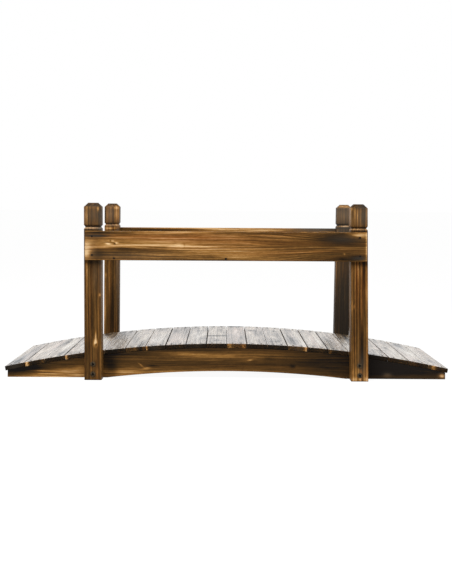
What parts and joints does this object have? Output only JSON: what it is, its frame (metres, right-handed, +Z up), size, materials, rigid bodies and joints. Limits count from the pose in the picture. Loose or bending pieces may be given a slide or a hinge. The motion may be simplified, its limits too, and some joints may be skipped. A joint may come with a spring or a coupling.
{
  "type": "arched garden footbridge",
  "caption": "Small arched timber footbridge for a garden: bowed side beams, cross planks, square posts with bevelled caps and a flat rail board on each side.",
  "frame": {"origin": "on the ground, under the middle of the bridge", "axes": "+X along the bridge to the picture's right, +Y across it to the far rail, +Z up"},
  "size_m": [1.525, 0.714, 0.6],
  "materials": {
    "stringer_wood": "scorched and oiled",
    "rail_wood": "scorched and oiled",
    "post_wood": "scorched and oiled",
    "deck_wood": "scorched, brushed and oiled"
  },
  "bodies": {
    "root": {"front_stringer": "stringer_wood", "front_rail": "rail_wood", "front_left_post": "post_wood", "front_right_post": "post_wood", "back_stringer": "stringer_wood", "back_rail": "rail_wood", "back_left_post": "post_wood", "back_right_post": "post_wood", "deck_plank_01": "deck_wood", "deck_plank_02": "deck_wood", "deck_plank_03": "deck_wood", "deck_plank_04": "deck_wood", "deck_plank_05": "deck_wood", "deck_plank_06": "deck_wood", "deck_plank_07": "deck_wood", "deck_plank_08": "deck_wood", "deck_plank_09": "deck_wood", "deck_plank_10": "deck_wood", "deck_plank_11": "deck_wood", "deck_plank_12": "deck_wood", "deck_plank_13": "deck_wood", "deck_plank_14": "deck_wood", "deck_plank_15": "deck_wood", "deck_plank_16": "deck_wood", "deck_plank_17": "deck_wood", "deck_plank_18": "deck_wood", "deck_plank_19": "deck_wood", "deck_plank_20": "deck_wood", "deck_plank_21": "deck_wood", "deck_plank_22": "deck_wood"}
  },
  "joints": []
}
